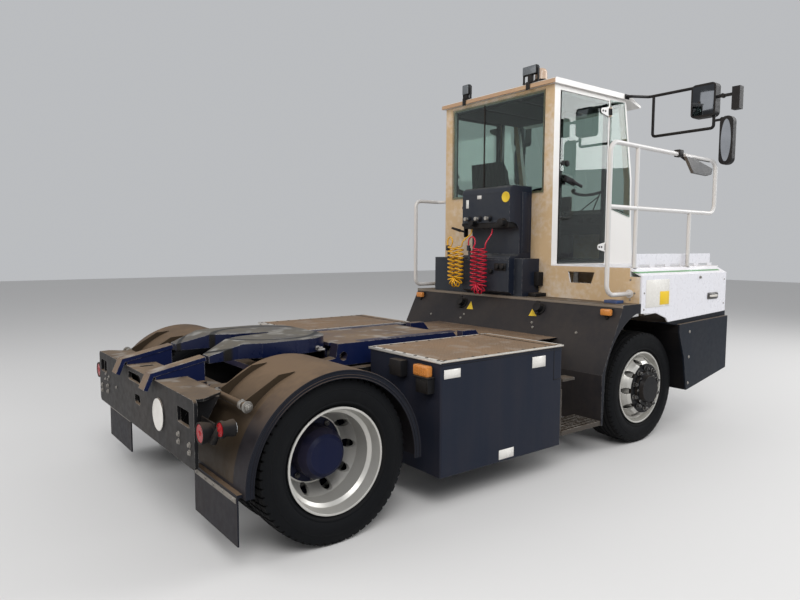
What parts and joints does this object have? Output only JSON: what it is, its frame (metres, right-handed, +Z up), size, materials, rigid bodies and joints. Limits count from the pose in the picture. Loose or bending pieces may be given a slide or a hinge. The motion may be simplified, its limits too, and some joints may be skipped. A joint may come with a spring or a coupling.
{
  "type": "terminal tractor",
  "caption": "Terminal tractor with lifting fifth wheel, twin rear wheels, steered front wheels, side battery boxes and an offset hollow cab with two glazed doors",
  "frame": {"origin": "on the ground, at the middle of the vehicle's bounding box", "axes": "X forward along the vehicle, Y to its left, Z up"},
  "size_m": [5.023, 2.66, 3.266],
  "materials": {
    "chassis_paint": "semi-gloss dark blue grey paint, dusty on its upper faces",
    "panel_paint": "satin dark blue grey powder coat",
    "body_paint": "semi-gloss off-white paint",
    "coupling_paint": "navy paint with a worn, dusty top",
    "machine_steel": "plain and worn steel",
    "tyre_rubber": "black rubber",
    "rim_silver": "silver wheel paint, hub dark blue",
    "black_plastic": "grained black plastic",
    "black_rubber": "dull black rubber",
    "rail_silver": "light grey painted tube",
    "deck_metal": "dusty steel tread",
    "pane": "lightly tinted safety glass",
    "amber_lens": "amber lens",
    "red_lens": "red lens in a black bracket",
    "yellow_line": "yellow polyurethane air line",
    "red_line": "red polyurethane air line",
    "seat_fabric": "dark grey woven seat cloth"
  },
  "bodies": {
    "vehicle": {"chassis_rail_right": "chassis_paint", "chassis_rail_left": "chassis_paint", "cross_members": "chassis_paint", "rear_plate": "chassis_paint", "ramps": "chassis_paint", "rear_axle": "chassis_paint", "front_axle": "chassis_paint", "drive_motor": "machine_steel", "battery_box_right": "panel_paint", "battery_box_left": "panel_paint", "bulkhead": "panel_paint", "front_body": "body_paint", "side_panels": "body_paint", "front_lockers": "panel_paint", "front_bumper": "panel_paint", "walkway": "body_paint", "rail_right": "rail_silver", "rail_left": "rail_silver", "side_steps": "deck_metal", "rear_mudguards": "black_plastic", "tail_lamps": "red_lens", "marker_lamps": "amber_lens", "service_column": "panel_paint", "coil_yellow": "yellow_line", "coil_red": "red_line", "cab_shell": "body_paint", "cab_roof": "body_paint", "cab_glass": "pane", "seat_frame": "black_plastic", "seat_cushions": "seat_fabric", "dashboard": "black_plastic", "roof_lamps": "black_plastic", "mirrors": "black_plastic"},
    "wheel_rear_right": {"rims_rear_right": "rim_silver", "tyres_rear_right": "tyre_rubber"},
    "wheel_rear_left": {"rims_rear_left": "rim_silver", "tyres_rear_left": "tyre_rubber"},
    "steer_right": {"knuckle_right": "machine_steel"},
    "steer_left": {"knuckle_left": "machine_steel"},
    "wheel_front_right": {"rim_front_right": "rim_silver", "tyre_front_right": "tyre_rubber"},
    "wheel_front_left": {"rim_front_left": "rim_silver", "tyre_front_left": "tyre_rubber"},
    "track_rod": {"tie_rod": "machine_steel"},
    "boom": {"lift_frame": "coupling_paint"},
    "coupling": {"fifth_wheel": "coupling_paint"},
    "barrel_right": {"lift_barrel_right": "chassis_paint"},
    "barrel_left": {"lift_barrel_left": "chassis_paint"},
    "rod_right": {"lift_rod_right": "machine_steel"},
    "rod_left": {"lift_rod_left": "machine_steel"},
    "cab_door_right": {"door_right": "black_plastic", "door_glass_right": "pane"},
    "cab_door_left": {"door_left": "black_plastic", "door_glass_left": "pane"}
  },
  "joints": [
    {"name": "rear_wheel_right", "type": "hinge", "parent": "vehicle", "child": "wheel_rear_right", "pos_m": [-1.7375, -0.9115, 0.463], "axis": [0, 1, 0], "continuous": true},
    {"name": "steering_right", "type": "hinge", "parent": "vehicle", "child": "steer_right", "pos_m": [1.2725, -0.95, 0.463], "axis": [0, 0, 1], "range_deg": [-35, 35]},
    {"name": "front_wheel_right", "type": "hinge", "parent": "steer_right", "child": "wheel_front_right", "pos_m": [1.2725, -1.018, 0.463], "axis": [0, 1, 0], "continuous": true},
    {"name": "ram_tilt_right", "type": "hinge", "parent": "vehicle", "child": "barrel_right", "pos_m": [-1.1275, -0.235, 0.3], "axis": [0, 1, 0], "range_deg": [0, 5.2]},
    {"name": "ram_stroke_right", "type": "slide", "parent": "barrel_right", "child": "rod_right", "axis": [-0.0617, 0, 0.9981], "range_m": [0, 0.3534]},
    {"name": "rear_wheel_left", "type": "hinge", "parent": "vehicle", "child": "wheel_rear_left", "pos_m": [-1.7375, 0.9115, 0.463], "axis": [0, 1, 0], "continuous": true},
    {"name": "steering_left", "type": "hinge", "parent": "vehicle", "child": "steer_left", "pos_m": [1.2725, 0.95, 0.463], "axis": [0, 0, 1], "range_deg": [-35, 35]},
    {"name": "front_wheel_left", "type": "hinge", "parent": "steer_left", "child": "wheel_front_left", "pos_m": [1.2725, 1.018, 0.463], "axis": [0, 1, 0], "continuous": true},
    {"name": "ram_tilt_left", "type": "hinge", "parent": "vehicle", "child": "barrel_left", "pos_m": [-1.1275, 0.235, 0.3], "axis": [0, 1, 0], "range_deg": [0, 5.2]},
    {"name": "ram_stroke_left", "type": "slide", "parent": "barrel_left", "child": "rod_left", "axis": [-0.0617, 0, 0.9981], "range_m": [0, 0.3534]},
    {"name": "track_rod_swing", "type": "hinge", "parent": "steer_right", "child": "track_rod", "pos_m": [1.1075, -0.95, 0.391], "axis": [0, 0, 1], "range_deg": [-35, 35]},
    {"name": "boom_lift", "type": "hinge", "parent": "vehicle", "child": "boom", "pos_m": [-0.1375, 0, 0.858], "axis": [0, 1, 0], "range_deg": [0, 20]},
    {"name": "coupling_pitch", "type": "hinge", "parent": "boom", "child": "coupling", "pos_m": [-1.5875, 0, 0.9], "axis": [0, 1, 0], "range_deg": [-12, 12]},
    {"name": "door_hinge_right", "type": "hinge", "parent": "vehicle", "child": "cab_door_right", "pos_m": [1.8785, -0.365, 2.272], "axis": [0, 0, 1], "range_deg": [0, 90]},
    {"name": "door_hinge_left", "type": "hinge", "parent": "vehicle", "child": "cab_door_left", "pos_m": [1.8785, 1.105, 2.272], "axis": [0, 0, -1], "range_deg": [0, 90]}
  ],
  "couplings": [
    {"joint": "steering_left", "follows": "steering_right", "ratio": 1},
    {"joint": "track_rod_swing", "follows": "steering_right", "ratio": -1},
    {"joint": "ram_tilt_right", "follows": "boom_lift", "ratio": 0.255},
    {"joint": "ram_stroke_right", "follows": "boom_lift", "m_per_rad": 1.0095},
    {"joint": "ram_tilt_left", "follows": "boom_lift", "ratio": 0.255},
    {"joint": "ram_stroke_left", "follows": "boom_lift", "m_per_rad": 1.0095}
  ]
}
